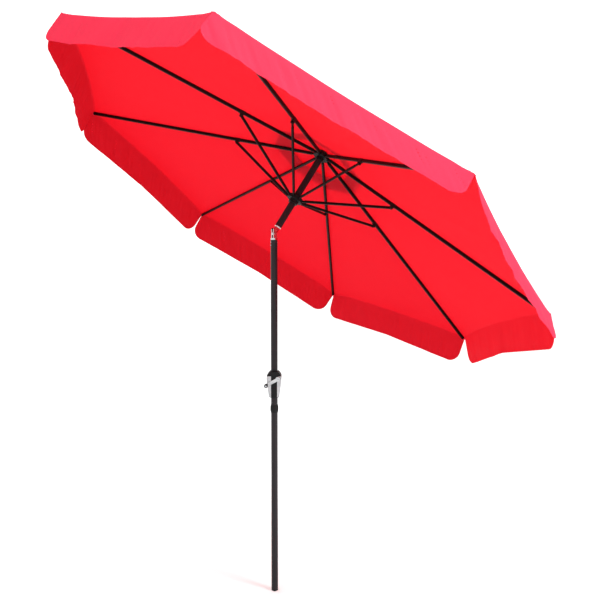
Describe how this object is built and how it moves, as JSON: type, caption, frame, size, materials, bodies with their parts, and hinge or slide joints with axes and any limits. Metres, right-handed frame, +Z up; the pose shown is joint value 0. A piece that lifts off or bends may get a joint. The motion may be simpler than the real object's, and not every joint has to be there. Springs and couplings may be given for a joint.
{
  "type": "patio umbrella",
  "caption": "Tilting market umbrella with a two-part pole, crank winch, sliding runner, hinged ribs and struts, and a vented fabric canopy with a scalloped valance; no base.",
  "frame": {"origin": "centre of the foot face of the pole", "axes": "+Z up the fixed pole, +X the way the canopy leans, +Y along the tilt hinge"},
  "size_m": [2.5668, 3.0837, 3.0676],
  "materials": {
    "pole_black": "satin charcoal powder coat",
    "frame_black": "satin black powder coat",
    "fittings_black": "black moulded and pressed fittings",
    "nylon_black": "fine-grained black nylon",
    "silver_plastic": "silver-painted plastic",
    "polished_aluminium": "polished casting",
    "zinc_steel": "zinc plated",
    "canopy_red": "plain-woven polyester"
  },
  "bodies": {
    "pole": {"foot_plug": "nylon_black", "lower_pole": "pole_black", "pole_joint_sleeve": "zinc_steel", "pole_collar": "nylon_black", "middle_pole": "pole_black", "winch_case_front": "nylon_black", "winch_case_back": "nylon_black", "winch_cheeks": "silver_plastic", "winch_screws": "zinc_steel", "tilt_fork": "polished_aluminium", "tilt_fork_rivets": "zinc_steel", "tilt_pin": "zinc_steel", "tilt_spring": "zinc_steel"},
    "crank": {"line_spool": "nylon_black", "crank_axle": "zinc_steel", "crank_arm": "polished_aluminium", "crank_knob_pin": "zinc_steel"},
    "crank_knob": {"crank_knob": "nylon_black"},
    "tilt_button": {"tilt_button": "polished_aluminium"},
    "mast": {"tilt_knuckle": "polished_aluminium", "mast_pole": "pole_black", "crown_hub": "nylon_black", "crown_pins": "zinc_steel", "line_pulley": "nylon_black", "pulley_axle": "zinc_steel", "finial": "nylon_black"},
    "runner": {"runner": "nylon_black", "runner_pins": "zinc_steel"},
    "rib_1": {"rib_1": "frame_black", "rib_fittings_1": "fittings_black", "canopy_gore_1": "canopy_red"},
    "strut_1": {"strut_1": "frame_black"},
    "rib_2": {"rib_2": "frame_black", "rib_fittings_2": "fittings_black", "canopy_gore_2": "canopy_red"},
    "strut_2": {"strut_2": "frame_black"},
    "rib_3": {"rib_3": "frame_black", "rib_fittings_3": "fittings_black", "canopy_gore_3": "canopy_red"},
    "strut_3": {"strut_3": "frame_black"},
    "rib_4": {"rib_4": "frame_black", "rib_fittings_4": "fittings_black", "canopy_gore_4": "canopy_red"},
    "strut_4": {"strut_4": "frame_black"},
    "rib_5": {"rib_5": "frame_black", "rib_fittings_5": "fittings_black", "canopy_gore_5": "canopy_red"},
    "strut_5": {"strut_5": "frame_black"},
    "rib_6": {"rib_6": "frame_black", "rib_fittings_6": "fittings_black", "canopy_gore_6": "canopy_red"},
    "strut_6": {"strut_6": "frame_black"},
    "rib_7": {"rib_7": "frame_black", "rib_fittings_7": "fittings_black", "canopy_gore_7": "canopy_red"},
    "strut_7": {"strut_7": "frame_black"},
    "rib_8": {"rib_8": "frame_black", "rib_fittings_8": "fittings_black", "canopy_gore_8": "canopy_red"},
    "strut_8": {"strut_8": "frame_black"}
  },
  "joints": [
    {"name": "canopy_tilt", "type": "hinge", "parent": "pole", "child": "mast", "pos_m": [0, 0, 2.0367], "axis": [0, 1, 0], "range_deg": [-34.2, 10.8]},
    {"name": "tilt_button", "type": "slide", "parent": "pole", "child": "tilt_button", "axis": [0, 1, 0], "range_m": [0, 0.003], "stiffness_N_per_m": 2000, "springref_m": -0.0015, "deforming": ["tilt_spring"]},
    {"name": "crank_spin", "type": "hinge", "parent": "pole", "child": "crank", "pos_m": [0.0195, -0.01018, 1.227], "axis": [-0.4627, -0.8865, 0], "range_deg": [0, 720]},
    {"name": "crank_knob_spin", "type": "hinge", "parent": "crank", "child": "crank_knob", "pos_m": [-0.03942, 0.02057, 1.19225], "axis": [-0.4627, -0.8865, 0], "continuous": true},
    {"name": "runner_slide", "type": "slide", "parent": "mast", "child": "runner", "axis": [-0.5621, 0, -0.8271], "range_m": [0, 0.15], "deforming": ["canopy_gore_1", "canopy_gore_2", "canopy_gore_3", "canopy_gore_4", "canopy_gore_5", "canopy_gore_6", "canopy_gore_7", "canopy_gore_8"]},
    {"name": "rib_hinge_1", "type": "hinge", "parent": "mast", "child": "rib_1", "pos_m": [0.33214, 0, 2.45783], "axis": [0, 1, 0], "range_deg": [0, 10.5]},
    {"name": "strut_hinge_1", "type": "hinge", "parent": "runner", "child": "strut_1", "pos_m": [0.16352, 0, 2.2097], "axis": [0, -1, 0], "range_deg": [0, 8.2]},
    {"name": "rib_hinge_2", "type": "hinge", "parent": "mast", "child": "rib_2", "pos_m": [0.32294, 0.02687, 2.46408], "axis": [-0.5848, 0.7071, 0.3975], "range_deg": [0, 10.5]},
    {"name": "strut_hinge_2", "type": "hinge", "parent": "runner", "child": "strut_2", "pos_m": [0.15431, 0.02687, 2.21596], "axis": [0.5848, -0.7071, -0.3975], "range_deg": [0, 8.2]},
    {"name": "rib_hinge_3", "type": "hinge", "parent": "mast", "child": "rib_3", "pos_m": [0.30071, 0.038, 2.47919], "axis": [-0.8271, 0, 0.5621], "range_deg": [0, 10.5]},
    {"name": "strut_hinge_3", "type": "hinge", "parent": "runner", "child": "strut_3", "pos_m": [0.13209, 0.038, 2.23106], "axis": [0.8271, 0, -0.5621], "range_deg": [0, 8.2]},
    {"name": "rib_hinge_4", "type": "hinge", "parent": "mast", "child": "rib_4", "pos_m": [0.27849, 0.02687, 2.49429], "axis": [-0.5848, -0.7071, 0.3975], "range_deg": [0, 10.5]},
    {"name": "strut_hinge_4", "type": "hinge", "parent": "runner", "child": "strut_4", "pos_m": [0.10987, 0.02687, 2.24617], "axis": [0.5848, 0.7071, -0.3975], "range_deg": [0, 8.2]},
    {"name": "rib_hinge_5", "type": "hinge", "parent": "mast", "child": "rib_5", "pos_m": [0.26929, 0, 2.50055], "axis": [0, -1, 0], "range_deg": [0, 10.5]},
    {"name": "strut_hinge_5", "type": "hinge", "parent": "runner", "child": "strut_5", "pos_m": [0.10066, 0, 2.25242], "axis": [0, 1, 0], "range_deg": [0, 8.2]},
    {"name": "rib_hinge_6", "type": "hinge", "parent": "mast", "child": "rib_6", "pos_m": [0.27849, -0.02687, 2.49429], "axis": [0.5848, -0.7071, -0.3975], "range_deg": [0, 10.5]},
    {"name": "strut_hinge_6", "type": "hinge", "parent": "runner", "child": "strut_6", "pos_m": [0.10987, -0.02687, 2.24617], "axis": [-0.5848, 0.7071, 0.3975], "range_deg": [0, 8.2]},
    {"name": "rib_hinge_7", "type": "hinge", "parent": "mast", "child": "rib_7", "pos_m": [0.30071, -0.038, 2.47919], "axis": [0.8271, 0, -0.5621], "range_deg": [0, 10.5]},
    {"name": "strut_hinge_7", "type": "hinge", "parent": "runner", "child": "strut_7", "pos_m": [0.13209, -0.038, 2.23106], "axis": [-0.8271, 0, 0.5621], "range_deg": [0, 8.2]},
    {"name": "rib_hinge_8", "type": "hinge", "parent": "mast", "child": "rib_8", "pos_m": [0.32294, -0.02687, 2.46408], "axis": [0.5848, 0.7071, -0.3975], "range_deg": [0, 10.5]},
    {"name": "strut_hinge_8", "type": "hinge", "parent": "runner", "child": "strut_8", "pos_m": [0.15431, -0.02687, 2.21596], "axis": [-0.5848, -0.7071, 0.3975], "range_deg": [0, 8.2]}
  ],
  "couplings": [
    {"joint": "crank_spin", "follows": "runner_slide", "rad_per_m": 83.333},
    {"joint": "rib_hinge_1", "follows": "runner_slide", "rad_per_m": 1.207},
    {"joint": "strut_hinge_1", "follows": "runner_slide", "rad_per_m": 0.94242},
    {"joint": "rib_hinge_2", "follows": "runner_slide", "rad_per_m": 1.207},
    {"joint": "strut_hinge_2", "follows": "runner_slide", "rad_per_m": 0.94242},
    {"joint": "rib_hinge_3", "follows": "runner_slide", "rad_per_m": 1.207},
    {"joint": "strut_hinge_3", "follows": "runner_slide", "rad_per_m": 0.94242},
    {"joint": "rib_hinge_4", "follows": "runner_slide", "rad_per_m": 1.207},
    {"joint": "strut_hinge_4", "follows": "runner_slide", "rad_per_m": 0.94242},
    {"joint": "rib_hinge_5", "follows": "runner_slide", "rad_per_m": 1.207},
    {"joint": "strut_hinge_5", "follows": "runner_slide", "rad_per_m": 0.94242},
    {"joint": "rib_hinge_6", "follows": "runner_slide", "rad_per_m": 1.207},
    {"joint": "strut_hinge_6", "follows": "runner_slide", "rad_per_m": 0.94242},
    {"joint": "rib_hinge_7", "follows": "runner_slide", "rad_per_m": 1.207},
    {"joint": "strut_hinge_7", "follows": "runner_slide", "rad_per_m": 0.94242},
    {"joint": "rib_hinge_8", "follows": "runner_slide", "rad_per_m": 1.207},
    {"joint": "strut_hinge_8", "follows": "runner_slide", "rad_per_m": 0.94242}
  ]
}
